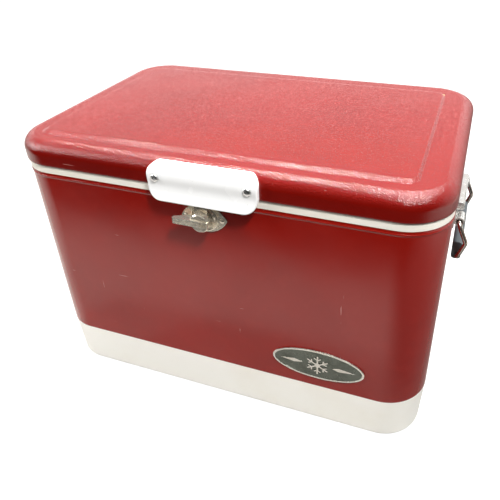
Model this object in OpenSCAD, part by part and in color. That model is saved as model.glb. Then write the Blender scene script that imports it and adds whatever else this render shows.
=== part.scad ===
// Picnic cooler chest: a painted steel wrap on a white moulded base, a foam-filled
// steel lid on two rear hinges, a twist latch, two wire carrying handles and a drain.
// Millimetres. X runs along the chest, -Y is the front, +Z is up, and the origin is the middle
// of the base, on the surface that the chest stands on.

/* [Chest] */
// Length of the steel wrap
body_w = 595; // [560:1:640]
// Depth of the steel wrap, front to back
body_d = 386; // [360:1:420]
// Radius of the wrap's upright corners
body_r = 60; // [55:1:70]
// Height of the top of the white base
base_top = 75; // [70:1:80]
// Height of the top of the red steel wrap
wrap_top = 358; // [350:1:362]
// Height of the white rim that the lid closes on
rim_h = 11; // [10:0.5:12]
// Thickness of the steel sheet
steel_t = 1; // [0.8:0.1:1.2]
// Thickness of the insulated wall, from wrap to tub
wall_t = 32; // [30:1:36]
// Thickness of the tub's plastic
tub_t = 3; // [2.5:0.5:3]
// Height of the tub's floor
tub_floor = 46; // [46:1:50]

/* [Lid] */
// How far the lid stands out past the wrap on each side
lid_over = 2.5; // [2.5:0.5:3]
// Gap between the rim and the lid's steel edge
lid_gap = 1; // [1:0.5:1.5]
// Height of the lid's upright skirt
skirt_h = 14; // [13:1:15]
// Height of the rounded shoulder above the skirt
shoulder_h = 19; // [17:1:21]
// Width of the rounded shoulder in plan
shoulder_w = 20; // [18:1:22]
// Height of the raised panel in the lid's top
panel_h = 3; // [2:0.5:3]
// Length of the raised panel
panel_w = 514; // [500:1:516]
// Depth of the raised panel
panel_d = 301; // [290:1:302]
// Depth that the lid's plug drops into the tub
plug_h = 14; // [12:1:15]

/* [Lid pull] */
// Length of the moulded pull
pull_w = 148; // [140:1:160]
// Height of the pull's lower edge
pull_bottom = 353.5; // [352:0.5:355]
// Half the distance between the pull's screws
pull_screw_x = 62; // [55:1:62]
// How far the pull sits to the right of the latch
pull_x = 3.5; // [-4:0.5:4]

/* [Latch] */
// Height of the latch's centre
latch_z = 331; // [329:1:333]
// Half length of the latch's lens-shaped plate
latch_half_w = 32; // [31:1:36]
// Half height of the latch's plate
latch_half_h = 20; // [19:0.5:20]
// Radius of the latch's drum
drum_r = 13; // [12:0.5:13]
// Reach of the lever from the drum's centre
lever_reach = 37; // [33:1:40]

/* [Hinges] */
// Distance of each hinge from the middle
hinge_x = 165; // [140:1:180]
// Length of each hinge
hinge_w = 64; // [56:2:70]
// Radius of the hinge pins
pin_r = 2.5; // [2:0.5:2.5]

/* [Carrying handles] */
// Height of the handles' pivot
bail_z = 305.5; // [302:0.5:308]
// Radius of the handle wire
wire_r = 3; // [2.5:0.5:3]
// Distance of the wire arms from the middle
arm_y = 70; // [70:1:74]
// Length of the hand grip
grip_l = 118; // [104:2:118]

/* [Badge] */
// Length of the oval badge
badge_w = 132; // [120:1:136]
// Height of the oval badge
badge_h = 53; // [48:1:54]
// Distance of the badge from the middle
badge_x = 152.5; // [140:0.5:156]
// Height of the badge's centre
badge_z = 119; // [115:1:124]

/* [Drain] */
// Height of the drain's centre line
drain_z = 58.5; // [58:0.5:60]
// Radius of the drain's bore
drain_r = 7; // [6:0.5:7]

/* [Hidden] */
$fn = 64;

red = [0.55, 0.08, 0.06];
white = [0.95, 0.94, 0.91];
nickel = [0.72, 0.69, 0.62];
bright = [0.8, 0.8, 0.8];
slate = [0.2, 0.22, 0.24];
foam_yellow = [0.9, 0.82, 0.55];
black = [0.08, 0.08, 0.08];

eps = 0.5;                       // how far a cutter runs past what it cuts
arc_steps = 10;                  // straight steps in a rounded edge of a section

front_y = -body_d / 2;
rear_y = body_d / 2;
end_x = body_w / 2;
rim_top = wrap_top + rim_h;
lid_w = body_w + 2 * lid_over;
lid_d = body_d + 2 * lid_over;
lid_r = body_r + 2;
lid_front = -lid_d / 2;
lid_rear = lid_d / 2;
lid_bottom = rim_top + lid_gap;
skirt_top = lid_bottom + skirt_h;
lid_top = skirt_top + shoulder_h;
panel_y = 3.5;                   // the panel sits a little nearer the hinges
panel_r = 14;
panel_slope = 6;

// ---- shapes shared by many parts ----

// Points along an elliptical arc, from angle a0 to a1
function arc(cx, cy, rx, ry, a0, a1, n = arc_steps) =
    [for (i = [0:n]) let (a = a0 + (a1 - a0) * i / n) [cx + rx * cos(a), cy + ry * sin(a)]];

// Rounded rectangle
module plan(w, d, r) {
    square([w - 2 * r, d], center = true);
    square([w, d - 2 * r], center = true);
    for (sx = [-1, 1], sy = [-1, 1])
        translate([sx * (w / 2 - r), sy * (d / 2 - r)]) circle(r);
}

// A section carried round a rounded rectangle. The section's x starts at the corner arc's
// centre, and its y is height. Sides and corners count from the right, anticlockwise.
module around(w, d, r, sides = [0:3], corners = [0:3]) {
    for (i = sides) {
        along = (i % 2 == 0 ? d : w) / 2 - r;
        rotate([0, 0, 90 * i]) translate([(i % 2 == 0 ? w : d) / 2 - r, along, 0])
            rotate([90, 0, 0]) linear_extrude(2 * along) children();
    }
    for (i = corners) {
        along = (i % 2 == 0 ? d : w) / 2 - r;
        rotate([0, 0, 90 * i]) translate([(i % 2 == 0 ? w : d) / 2 - r, along, 0])
            rotate_extrude(angle = 90) children();
    }
}

// Flat filling between the straight sides of such a ring
module middle(w, d, r, z0, z1) {
    translate([-w / 2 + r, -d / 2 + r, z0]) cube([w - 2 * r, d - 2 * r, z1 - z0]);
}

module around_body() { around(body_w, body_d, body_r) children(); }
module around_lid() { around(lid_w, lid_d, lid_r) children(); }

// Local frames: +Z points out of the front, the back, the right end or the left end
module on_front(x, y, z) { translate([x, y, z]) rotate([90, 0, 0]) children(); }
module on_rear(x, y, z) { translate([x, y, z]) rotate([90, 0, 180]) children(); }
module on_right(x, y, z) { translate([x, y, z]) rotate([90, 0, 90]) children(); }
module on_left(x, y, z) { translate([x, y, z]) rotate([90, 0, -90]) children(); }

// Pan-head screw: the head's seat is at z = 0, the head rises to z = head_h
module pan_screw(head_r, head_h, shank_r, length) {
    difference() {
        rotate_extrude()
            polygon(concat([[0, 0], [head_r, 0], [head_r, head_h * 0.35]],
                arc(0, head_h * 0.35, head_r, head_h * 0.65, 12, 90, 6)));
        for (a = [0, 90]) rotate([0, 0, a])
            translate([-head_r * 0.55, -head_r * 0.12, head_h * 0.5])
                cube([head_r * 1.1, head_r * 0.24, head_h]);
    }
    translate([0, 0, -length]) cylinder(h = length, r = shank_r);
}

// Where the fasteners go, and what each pattern's hole is
bracket_screw_y = [-34, 0, 34];
bracket_screw_z = bail_z - 1.5;
hinge_screw_dx = [-22, 0, 22];
hinge_body_screw_z = wrap_top - 22;
hinge_lid_screw_z = lid_bottom + 8;
latch_screw_x = latch_half_w - 7;
strike_rivet_x = 8;
strike_rivet_z = lid_bottom + 7.5;
pull_screw_z = lid_bottom + 13.5;
screw_r = 2;
rivet_r = 1.6;
screw_in = 12;                   // how far a screw reaches past the face it enters

module bracket_screw_places(side) {
    for (y = bracket_screw_y) {
        if (side > 0) on_right(end_x, y, bracket_screw_z) children();
        else on_left(-end_x, y, bracket_screw_z) children();
    }
}
module hinge_body_screw_places() {
    for (s = [-1, 1], dx = hinge_screw_dx)
        on_rear(s * hinge_x + dx, rear_y, hinge_body_screw_z) children();
}
module hinge_lid_screw_places() {
    for (s = [-1, 1], dx = hinge_screw_dx)
        on_rear(s * hinge_x + dx, lid_rear, hinge_lid_screw_z) children();
}
module latch_screw_places() {
    for (s = [-1, 1]) on_front(s * latch_screw_x, front_y, latch_z) children();
}
module pull_screw_places() {
    for (s = [-1, 1]) on_front(pull_x + s * pull_screw_x, lid_front, pull_screw_z) children();
}
module strike_rivet_places() {
    for (s = [-1, 1]) on_front(s * strike_rivet_x, lid_front, strike_rivet_z) children();
}
module inward(r, depth) { translate([0, 0, -depth]) cylinder(h = depth + eps, r = r); }

module body_fastener_holes() {
    for (side = [-1, 1]) bracket_screw_places(side) inward(screw_r, screw_in);
    hinge_body_screw_places() inward(screw_r, screw_in);
    latch_screw_places() inward(rivet_r, screw_in);
}
module lid_fastener_holes() {
    hinge_lid_screw_places() inward(screw_r, screw_in);
    pull_screw_places() inward(screw_r, screw_in);
    strike_rivet_places() inward(rivet_r, screw_in / 2);
}

// ---- chest ----

foot_w = 45;                     // width of the base's foot band
foot_h = 3;                      // recess under the middle of the base
tray_t = 3;                      // thickness of the base's plastic
tray_in = 3;                     // how far the base draws in towards its foot
tray_edge = 7;                   // radius of the base's bottom edge
tray_lip = 13;                   // height of the lip that stands inside the wrap
tub_draft = 6;                   // how far the tub's wall leans in towards its floor
tub_fillet = 6;
rim_leg = 12;                    // depth of the rim's leg inside the wrap
rim_land = 8;                    // width of the rim's own top
bead_z = wrap_top - 5;
bead_r = 1.4;

// Outer face of the tub, from under its flange down to the middle of its floor
function tub_outer() = concat(
    [[body_r - wall_t + tub_t, rim_top - tub_t]],
    arc(body_r - wall_t + tub_t - tub_draft - tub_fillet, tub_floor - tub_t + tub_fillet,
        tub_fillet, tub_fillet, 0, -90, 6),
    [[0, tub_floor - tub_t]]);
// Inner face of the tub, from the middle of its floor up to its top
function tub_inner() = concat(
    [[0, tub_floor]],
    arc(body_r - wall_t - tub_draft - tub_fillet + tub_t, tub_floor + tub_fillet - tub_t,
        tub_fillet - tub_t, tub_fillet - tub_t, -90, 0, 6),
    [[body_r - wall_t, rim_top]]);

drain_pad_r = 16;
drain_tube_r = drain_r + 2;
drain_out_x = -end_x - 0.5;      // flat face that the drain's nut bears on
drain_in_x = -end_x + wall_t + tub_draft + 0.9;
drain_flange_r = 10.8;
drain_flange_t = 2;
drain_seal_t = 1;
spout_end_x = drain_out_x - 11;
tray_pad_h = 9;

module drain_axis(x) { translate([x, 0, drain_z]) rotate([0, -90, 0]) children(); }
drain_cut_l = 90;                // long enough to pass the tub, the foam and the base
module drain_hole() { drain_axis(drain_in_x + 20) cylinder(h = drain_cut_l, r = drain_tube_r); }

module base_tray() color(white) {
    bottom_x = body_r - tray_in - tray_edge;
    difference() {
        union() {
            around_body() polygon(concat(
                [[0, foot_h + tray_t], [0, foot_h], [body_r - foot_w, foot_h],
                 [body_r - foot_w + foot_h, 0]],
                arc(bottom_x, tray_edge, tray_edge, tray_edge, -90, 0, 6),
                [[body_r, base_top], [body_r - steel_t, base_top],
                 [body_r - steel_t, base_top + tray_lip],
                 [body_r - steel_t - tray_t, base_top + tray_lip],
                 [body_r - steel_t - tray_t, base_top],
                 [tray_wall_x(tray_edge + tray_t), tray_edge + tray_t],
                 [tray_wall_x(tray_edge + tray_t), foot_h + tray_t]]));
            middle(body_w, body_d, body_r, foot_h, foot_h + tray_t);
            drain_axis(drain_out_x + tray_pad_h) cylinder(h = tray_pad_h, r = drain_pad_r);
        }
        drain_hole();
    }
}

module outer_shell() color(red) difference() {
    around_body() {
        polygon([[body_r - steel_t, base_top], [body_r, base_top],
            [body_r, bead_z - bead_r], each arc(body_r, bead_z, bead_r * 0.6, bead_r, -75, 75, 6),
            [body_r, bead_z + bead_r], [body_r, wrap_top], [body_r - steel_t, wrap_top]]);
    }
    body_fastener_holes();
}

seam_w = 18;
seam_t = 0.8;
module rear_seam_strip() color(red) translate([-seam_w / 2, rear_y, base_top + 1])
    cube([seam_w, seam_t, bead_z - bead_r - base_top - 1.5]);

// Inner face of the base's wall at height z
function tray_wall_x(z) = body_r - tray_in - tray_t - steel_t
    + tray_in * (z - tray_edge - tray_t) / (base_top - tray_edge - tray_t);
foam_floor_top = tub_floor - tub_t;

module insulation_floor() color(foam_yellow) {
    around_body() polygon([[0, foot_h + tray_t],
        [tray_wall_x(tray_edge + tray_t), foot_h + tray_t],
        [tray_wall_x(tray_edge + tray_t), tray_edge + tray_t],
        [tray_wall_x(foam_floor_top), foam_floor_top], [0, foam_floor_top]]);
    middle(body_w, body_d, body_r, foot_h + tray_t, foam_floor_top);
}

module insulation_panel(sides, corners) color(foam_yellow) difference() {
    lip_x = body_r - steel_t - tray_t;
    around(body_w, body_d, body_r, sides, corners) polygon(concat(
        [[tray_wall_x(foam_floor_top), foam_floor_top],
         [lip_x, base_top], [lip_x, base_top + tray_lip],
         [body_r - steel_t, base_top + tray_lip],
         [body_r - steel_t, wrap_top - rim_leg],
         [lip_x, wrap_top - rim_leg], [lip_x, wrap_top], [body_r - rim_land, wrap_top],
         [body_r - rim_land, rim_top - tub_t]],
        [for (q = tub_outer()) if (q[0] > 0) q]));
    drain_hole();
    drain_axis(drain_out_x + tray_pad_h) cylinder(h = tray_pad_h, r = drain_pad_r);
    body_fastener_holes();
}
module insulation_front() insulation_panel([3], []);
module insulation_rear() insulation_panel([1], []);
module insulation_right() insulation_panel([0], [0, 3]);
module insulation_left() insulation_panel([2], [1, 2]);

module inner_liner() color(white) difference() {
    union() {
        around_body() polygon(concat(
            [[body_r - rim_land, rim_top], [body_r - rim_land, rim_top - tub_t]],
            tub_outer(), tub_inner()));
        middle(body_w, body_d, body_r, tub_floor - tub_t, tub_floor);
        drain_axis(drain_in_x) cylinder(h = 2.2, r = drain_flange_r + 1.5);
    }
    drain_hole();
}

module top_rim() color(white) around_body() polygon([
    [body_r + 0.5, wrap_top], [body_r + 0.5, rim_top - 0.8], [body_r - 0.3, rim_top],
    [body_r - rim_land, rim_top], [body_r - rim_land, wrap_top],
    [body_r - steel_t - tray_t, wrap_top], [body_r - steel_t - tray_t, wrap_top - rim_leg],
    [body_r - steel_t, wrap_top - rim_leg], [body_r - steel_t, wrap_top]]);

// ---- badge ----

module oval(w, h) { polygon(arc(0, 0, w / 2, h / 2, 0, 357, 119)); }
module badge_frame() { on_front(badge_x, front_y, badge_z) children(); }

badge_t = 1.6;
badge_rim = 3;
badge_field_t = 0.8;
badge_step = 0.6;                // the rim steps in by this much, halfway up
crystal_r = 17;
arm_w = 2.2;

module badge_plate() color(bright) badge_frame() difference() {
    union() {
        linear_extrude(badge_t) oval(badge_w, badge_h);
        translate([0, 0, badge_t]) linear_extrude(badge_step)
            oval(badge_w - 2 * badge_step, badge_h - 2 * badge_step);
    }
    translate([0, 0, badge_t - badge_field_t])
        linear_extrude(3) oval(badge_w - 2 * badge_rim, badge_h - 2 * badge_rim);
}

module badge_field() color(slate) badge_frame() translate([0, 0, badge_t - badge_field_t])
    linear_extrude(badge_field_t) oval(badge_w - 2 * badge_rim, badge_h - 2 * badge_rim);

// A six-armed snow crystal between two bars
module badge_emblem() color(bright) badge_frame() translate([0, 0, badge_t]) {
    linear_extrude(1) {
        for (a = [0:60:300]) rotate([0, 0, a + 30]) {
            translate([0, -arm_w / 2]) square([crystal_r, arm_w]);
            for (s = [-1, 1]) translate([crystal_r * 0.55, 0]) rotate([0, 0, 55 * s])
                translate([0, -arm_w * 0.4]) square([crystal_r * 0.34, arm_w * 0.8]);
        }
        circle(r = 4);
    }
    for (s = [-1, 1]) translate([s * 38, 0, 0]) linear_extrude(0.7)
        polygon([[-17, 0], [-s * 6 - 2, 3.2], [17, 0], [-s * 6 - 2, -3.2]]);
}

// ---- latch ----

plate_t = 1.6;
plate_ring_r = 17.6;             // embossed ring round the dish
dish_h = 4;                      // how far the plate's middle stands out
pocket_h = 2.8;
pocket_r = 11.5;
spindle_r = 4;
ear_in = 6.5;                    // from the plate's tip to the middle of its rounded ear
ear_r = 5.4;
dish_foot_r = 16.5;
dish_top_r = 15;
peen_r = 5.2;                    // the spindle's spread end, behind the plate
peen_z = 0.5;
peen_t = 0.8;
washer_r = 9.5;
washer_t = 1;
neck_r = 7.5;
lobe_off = 2.4;                  // how far the cam's lobe is off centre, both ways
drum_bevel_h = 1.2;
drum_bevel_r = 1.4;
cam_z = dish_h + 0.4;
cam_t = 2.6;
neck_z = cam_z + cam_t;
neck_t = 2.6;
drum_z = neck_z + neck_t;
drum_h = 7.4;
lever_front = 19;
lever_t = 8.6;
lever_right = 12.4;
run_gap = 0.05;                  // running clearance on the radius

module latch_frame() { on_front(0, front_y, latch_z) children(); }

module latch_plate() color(nickel) latch_frame() {
    arc_r = (pow(latch_half_w, 2) + pow(latch_half_h, 2)) / (2 * latch_half_h);
    difference() {
        union() {
            linear_extrude(plate_t) {
                intersection() {
                    translate([0, latch_half_h - arc_r]) circle(arc_r, $fn = 128);
                    translate([0, arc_r - latch_half_h]) circle(arc_r, $fn = 128);
                }
                for (s = [-1, 1]) translate([s * (latch_half_w - ear_in), 0]) circle(ear_r);
            }
            translate([0, 0, plate_t])
                cylinder(h = dish_h - plate_t, r1 = dish_foot_r, r2 = dish_top_r);
            rotate_extrude() translate([plate_ring_r, plate_t])
                polygon(arc(0, 0, 1.3, 0.9, 0, 180, 8));
        }
        translate([0, 0, -eps]) cylinder(h = pocket_h + eps, r = pocket_r);
        translate([0, 0, -eps]) cylinder(h = dish_h + 2 * eps, r = spindle_r + run_gap);
        for (s = [-1, 1]) translate([s * latch_screw_x, 0, -eps])
            cylinder(h = plate_t + 2 * eps, r = rivet_r);
    }
}

module latch_plate_screws() color(nickel) latch_screw_places()
    translate([0, 0, plate_t]) pan_screw(3.1, 2, rivet_r, screw_in + plate_t - 1);

// The spindle is peened over behind the plate, against the spring washer
module latch_spindle() color(nickel) latch_frame() {
    translate([0, 0, peen_z]) cylinder(h = peen_t, r = peen_r);
    translate([0, 0, peen_z + peen_t])
        cylinder(h = drum_z + 4 - peen_z - peen_t, r = spindle_r);
}

module latch_spring_washer() color(bright) latch_frame()
    translate([0, 0, peen_z + peen_t]) difference() {
    cylinder(h = washer_t, r = washer_r);
    translate([0, 0, -eps]) cylinder(h = washer_t + 2 * eps, r = spindle_r);
}

// Cam disc with one raised lobe, and the neck that the strike's toe stands over
module latch_cam() color(nickel) latch_frame() difference() {
    union() {
        translate([0, 0, cam_z]) cylinder(h = cam_t, r = drum_r - 0.6);
        translate([lobe_off, -lobe_off, cam_z]) cylinder(h = cam_t, r = drum_r - 2);
        translate([0, 0, neck_z]) cylinder(h = neck_t, r = neck_r);
    }
    translate([0, 0, cam_z - eps]) cylinder(h = cam_t + neck_t + 2 * eps, r = spindle_r);
}

module latch_lever() color(nickel) latch_frame() difference() {
    union() {
        translate([0, 0, drum_z]) cylinder(h = drum_h - drum_bevel_h, r = drum_r);
        translate([0, 0, drum_z + drum_h - drum_bevel_h])
            cylinder(h = drum_bevel_h, r1 = drum_r, r2 = drum_r - drum_bevel_r);
        // The wing: deep at the drum, thin at its tip, so that a finger goes behind it
        translate([0, lever_t / 2, 0]) rotate([90, 0, 0]) linear_extrude(lever_t) polygon([
            [-lever_reach, lever_front - 4.5], [-lever_reach, lever_front - 0.8],
            [-lever_reach + 0.8, lever_front], [lever_right - 0.8, lever_front],
            [lever_right, lever_front - 0.8], [lever_right, drum_z], [-drum_r - 0.2, drum_z],
            [-drum_r - 0.2, dish_h + 1.2], [-drum_r - 3, dish_h + 1.2]]);
    }
    // Grooves along the lever's front
    for (y = [-1.5, 1.5]) translate([-lever_reach + 2, y - 0.45, lever_front - 0.7])
        cube([lever_reach + lever_right - 4, 0.9, 2]);
    translate([0, 0, drum_z - eps]) cylinder(h = 4 + eps, r = spindle_r);
}

strike_t = 1.4;
strike_y = front_y - neck_z - 0.6;     // inner face of the strike's tongue
strike_toe_z = latch_z + 8.6;

module latch_strike() color(nickel) difference() {
    intersection() {
        rotate([90, 0, 90]) translate([0, 0, -20]) linear_extrude(40) polygon([
            [lid_front, lid_bottom + 13], [lid_front, lid_bottom + 1.5],
            [strike_y, lid_bottom - 10], [strike_y, strike_toe_z],
            [strike_y - strike_t, strike_toe_z], [strike_y - strike_t, lid_bottom - 9.4],
            [lid_front - strike_t, lid_bottom + 2.2], [lid_front - strike_t, lid_bottom + 13]]);
        on_front(0, 0, 0) translate([0, 0, 150]) linear_extrude(100) polygon([
            [-15, lid_bottom + 14], [15, lid_bottom + 14], [15, lid_bottom - 6],
            [9, lid_bottom - 18], [9, strike_toe_z + 2], [7, strike_toe_z - 1],
            [-7, strike_toe_z - 1], [-9, strike_toe_z + 2], [-9, lid_bottom - 18],
            [-15, lid_bottom - 6]]);
    }
    strike_rivet_places() cylinder(h = 4, r = rivet_r);
}

module strike_rivets() color(nickel) strike_rivet_places() {
    translate([0, 0, strike_t]) rotate_extrude()
        polygon(concat([[0, 0]], arc(0, 0, 3, 1.3, 0, 90, 6)));
    translate([0, 0, -screw_in / 2]) cylinder(h = screw_in / 2 + strike_t, r = rivet_r);
}

// ---- hinges ----

hinge_t = 1.6;
barrel_r = 4.5;
hinge_y = rear_y + 9;
hinge_z = wrap_top + 8;
knuckle_gap = 0.5;
hinge_screw_head = [3.8, 2.2];         // radius and height
pin_head = [0.8, 1.2];                 // how far it stands out from the pin, and its length
knuckle_w = hinge_w * 0.45;            // the lid's knuckle, in the middle

module hinge_profile_body() {
    translate([rear_y, hinge_body_screw_z - 12])
        square([hinge_t, wrap_top - 9 - hinge_body_screw_z + 12]);
    polygon([[rear_y, wrap_top - 9.5], [rear_y + hinge_t, wrap_top - 12],
        [hinge_y + 1, hinge_z - barrel_r + 0.6], [hinge_y - 3.4, hinge_z - 2.4],
        [rear_y + 1.8, wrap_top - 6.4]]);
}

module hinge_leaf_body(s) color(bright) difference() {
    union() {
        translate([s * hinge_x - hinge_w / 2, 0, 0]) rotate([90, 0, 90]) linear_extrude(hinge_w)
            hinge_profile_body();
        for (e = [-1, 1]) translate([s * hinge_x + e * (hinge_w + knuckle_w) / 4
            + e * knuckle_gap / 2, hinge_y, hinge_z]) rotate([0, 90, 0])
            cylinder(h = (hinge_w - knuckle_w) / 2 - knuckle_gap, r = barrel_r, center = true);
    }
    // Room for the lid's knuckle
    translate([s * hinge_x - knuckle_w / 2 - knuckle_gap, rear_y + hinge_t, wrap_top - 8.5])
        cube([knuckle_w + 2 * knuckle_gap, 20, 30]);
    translate([s * hinge_x - knuckle_w / 2 - knuckle_gap, rear_y - 1, wrap_top - 6])
        cube([knuckle_w + 2 * knuckle_gap, 20, 30]);
    translate([s * hinge_x, hinge_y, hinge_z]) rotate([0, 90, 0])
        cylinder(h = hinge_w + 2, r = pin_r, center = true);
    hinge_body_screw_places() cylinder(h = 4, r = screw_r);
}
module hinge_leaf_body_right() { hinge_leaf_body(1); }
module hinge_leaf_body_left() { hinge_leaf_body(-1); }

module hinge_leaf_lid(s) color(bright) difference() {
    union() {
        translate([s * hinge_x - hinge_w / 2, lid_rear, lid_bottom + 1.5])
            cube([hinge_w, hinge_t, skirt_h - 2]);
        translate([s * hinge_x - knuckle_w / 2, 0, 0]) rotate([90, 0, 90])
            linear_extrude(knuckle_w) {
                translate([hinge_y, hinge_z]) circle(barrel_r);
                polygon([[lid_rear, lid_bottom + 4], [lid_rear, lid_bottom + 1.5],
                    [hinge_y - 3.6, hinge_z + 0.4], [hinge_y + 0.4, hinge_z + 3.8],
                    [lid_rear + hinge_t, lid_bottom + 4]]);
            }
    }
    translate([s * hinge_x, hinge_y, hinge_z]) rotate([0, 90, 0])
        cylinder(h = hinge_w + 2, r = pin_r + run_gap, center = true);
    hinge_lid_screw_places() cylinder(h = 4, r = screw_r);
}
module hinge_leaf_lid_right() { hinge_leaf_lid(1); }
module hinge_leaf_lid_left() { hinge_leaf_lid(-1); }

module hinge_pin(s) color(bright) translate([s * hinge_x, hinge_y, hinge_z]) rotate([0, 90, 0]) {
    cylinder(h = hinge_w, r = pin_r, center = true);
    for (e = [-1, 1]) translate([0, 0, e * (hinge_w + pin_head[1]) / 2])
        cylinder(h = pin_head[1], r = pin_r + pin_head[0], center = true);
}
module hinge_pin_right() { hinge_pin(1); }
module hinge_pin_left() { hinge_pin(-1); }

module hinge_screws_body() color(bright) hinge_body_screw_places()
    translate([0, 0, hinge_t])
        pan_screw(hinge_screw_head[0], hinge_screw_head[1], screw_r, screw_in + hinge_t - 1);
module hinge_screws_lid() color(bright) hinge_lid_screw_places()
    translate([0, 0, hinge_t])
        pan_screw(hinge_screw_head[0], hinge_screw_head[1], screw_r, screw_in + hinge_t - 1);

// ---- carrying handles ----

bracket_t = 1.8;
strip_half = 45;                       // the raised strip ends where the barrels start
strip_out = 11.5;
bracket_low = bail_z - 11;
bracket_high = bail_z + 20;
strip_low = bail_z + 7.5;
strip_high = bail_z + 18;
barrel_out = 8;                        // pivot's distance from the wall
bail_barrel_r = 6.4;
barrel_l = 20;
barrel_mouth_r = 4.6;                  // the barrel's end opens out where the wire bends away
barrel_mouth_l = 6;

module strip_outline() polygon([[0, strip_low], [strip_out - 1.5, strip_low],
    [strip_out, strip_low + 1.5], [strip_out, strip_high - 3], [strip_out - 2.5, strip_high],
    [0, strip_high]]);
module strip_section() difference() {
    strip_outline();
    polygon([[-1, strip_low + 1.6], [strip_out - 2.4, strip_low + 1.6],
        [strip_out - 1.6, strip_low + 2.4], [strip_out - 1.6, strip_high - 3.6],
        [strip_out - 3.2, strip_high - 1.6], [-1, strip_high - 1.6]]);
}

// The right bracket; the left one is its mirror image
module handle_bracket() translate([end_x, 0, 0]) difference() {
    union() {
        translate([0, -strip_half - barrel_l, bracket_low])
            cube([bracket_t, 2 * (strip_half + barrel_l), bracket_high - bracket_low]);
        translate([0, strip_half, 0]) rotate([90, 0, 0])
            linear_extrude(2 * strip_half) strip_section();
        for (e = [-1, 1]) {
            translate([0, e * (strip_half - 0.8) + 0.8, 0]) rotate([90, 0, 0])
                linear_extrude(1.6) strip_outline();
            translate([0, e * (strip_half + barrel_l / 2) + barrel_l / 2, 0]) rotate([90, 0, 0])
                linear_extrude(barrel_l) {
                    translate([barrel_out, bail_z]) circle(bail_barrel_r);
                    polygon([[bracket_t / 2, bail_z - 4], [barrel_out - 2, bail_z - 4],
                        [barrel_out - 2, bail_z + 5], [bracket_t / 2, bail_z + 5]]);
                }
        }
    }
    translate([barrel_out, 0, bail_z]) rotate([90, 0, 0])
        cylinder(h = 4 * (strip_half + barrel_l), r = wire_r + run_gap, center = true);
    for (e = [-1, 1]) translate([barrel_out, e * (strip_half + barrel_l), bail_z])
        rotate([90, 0, 0]) cylinder(h = 2 * barrel_mouth_l, r = barrel_mouth_r, center = true);
    for (y = bracket_screw_y) translate([-1, y, bracket_screw_z]) rotate([0, 90, 0])
        cylinder(h = 6, r = screw_r);
}
module handle_bracket_right() color(bright) handle_bracket();
module handle_bracket_left() color(bright) mirror([1, 0, 0]) handle_bracket();

module bracket_screws(side) bracket_screw_places(side)
    translate([0, 0, bracket_t]) pan_screw(4, 2.4, screw_r, screw_in + bracket_t - 1);
module bracket_screws_right() color(bright) bracket_screws(1);
module bracket_screws_left() color(bright) bracket_screws(-1);

// A round rod through a list of corners, each corner bent to a radius
function unit(v) = v / norm(v);
function bend_back(p, i, bend) =
    i == 0 || i == len(p) - 1 ? 0
    : bend * tan(acos(unit(p[i] - p[i - 1]) * unit(p[i + 1] - p[i])) / 2);
module frame_at(o, x, y) {
    z = cross(x, y);
    multmatrix([[x[0], y[0], z[0], o[0]], [x[1], y[1], z[1], o[1]], [x[2], y[2], z[2], o[2]],
        [0, 0, 0, 1]]) children();
}
lap = 0.3;                       // a straight length runs this far into the bend it meets
thinner = 0.02;                  // a bend is this much thinner, so that it ends inside it
module rod(p, r, bend) {
    for (i = [0:len(p) - 2]) {
        u = unit(p[i + 1] - p[i]);
        side = unit(abs(u[1]) > 0.9 ? cross(u, [0, 0, 1]) : cross(u, [0, 1, 0]));
        from = i == 0 ? 0 : bend_back(p, i, bend) - lap;
        to = norm(p[i + 1] - p[i])
            - (i == len(p) - 2 ? 0 : bend_back(p, i + 1, bend) - lap);
        frame_at(p[i] + u * from, side, cross(u, side)) cylinder(h = to - from, r = r);
    }
    for (i = [1:len(p) - 2]) {
        u = unit(p[i] - p[i - 1]);
        v = unit(p[i + 1] - p[i]);
        turn = acos(u * v);
        centre = p[i] + unit(v - u) * bend / cos(turn / 2);
        frame_at(centre, unit(p[i] - u * bend_back(p, i, bend) - centre), u)
            rotate_extrude(angle = turn) translate([bend, 0]) circle(r - thinner);
    }
}

pivot_x = end_x + barrel_out;
knee = [pivot_x + 12.5, bail_z - 28];   // outermost bend of each arm
bar = [pivot_x + 4, bail_z - 53.5];     // straight bar inside the grip
stub_y = strip_half + 4;                // where the wire ends, inside its barrel
bail_bend = 8;                          // radius of the wire's bends, on its centre line
module bail_wire() rod([
    [pivot_x, -stub_y, bail_z], [pivot_x, -arm_y, bail_z], [knee[0], -arm_y, knee[1]],
    [bar[0], -arm_y, bar[1]], [bar[0], arm_y, bar[1]], [knee[0], arm_y, knee[1]],
    [pivot_x, arm_y, bail_z], [pivot_x, stub_y, bail_z]], wire_r, bail_bend);
module bail_wire_right() color(bright) bail_wire();
module bail_wire_left() color(bright) mirror([1, 0, 0]) bail_wire();

grip_x = 13;
grip_z = 27;
grip_corner_r = 5;
grip_off = [1.2, 0, -5];                // the bar's place in the grip, from the grip's middle
module bail_grip() translate([bar[0], 0, bar[1]] - grip_off) difference() {
    translate([0, grip_l / 2, 0]) rotate([90, 0, 0]) linear_extrude(grip_l)
        plan(grip_x, grip_z, grip_corner_r);
    translate(grip_off) rotate([90, 0, 0])
        cylinder(h = grip_l + 2, r = wire_r, center = true);
}
module bail_grip_right() color(slate) bail_grip();
module bail_grip_left() color(slate) mirror([1, 0, 0]) bail_grip();

// ---- drain ----

module drain_spout() color(white) difference() {
    union() {
        drain_axis(drain_in_x + drain_seal_t + drain_flange_t)
            cylinder(h = drain_flange_t, r = drain_flange_r);
        drain_axis(drain_in_x + drain_seal_t)
            cylinder(h = drain_in_x + drain_seal_t - spout_end_x, r = drain_tube_r);
    }
    drain_axis(drain_in_x + 5) cylinder(h = drain_in_x + 6 - spout_end_x, r = drain_r);
}

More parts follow.
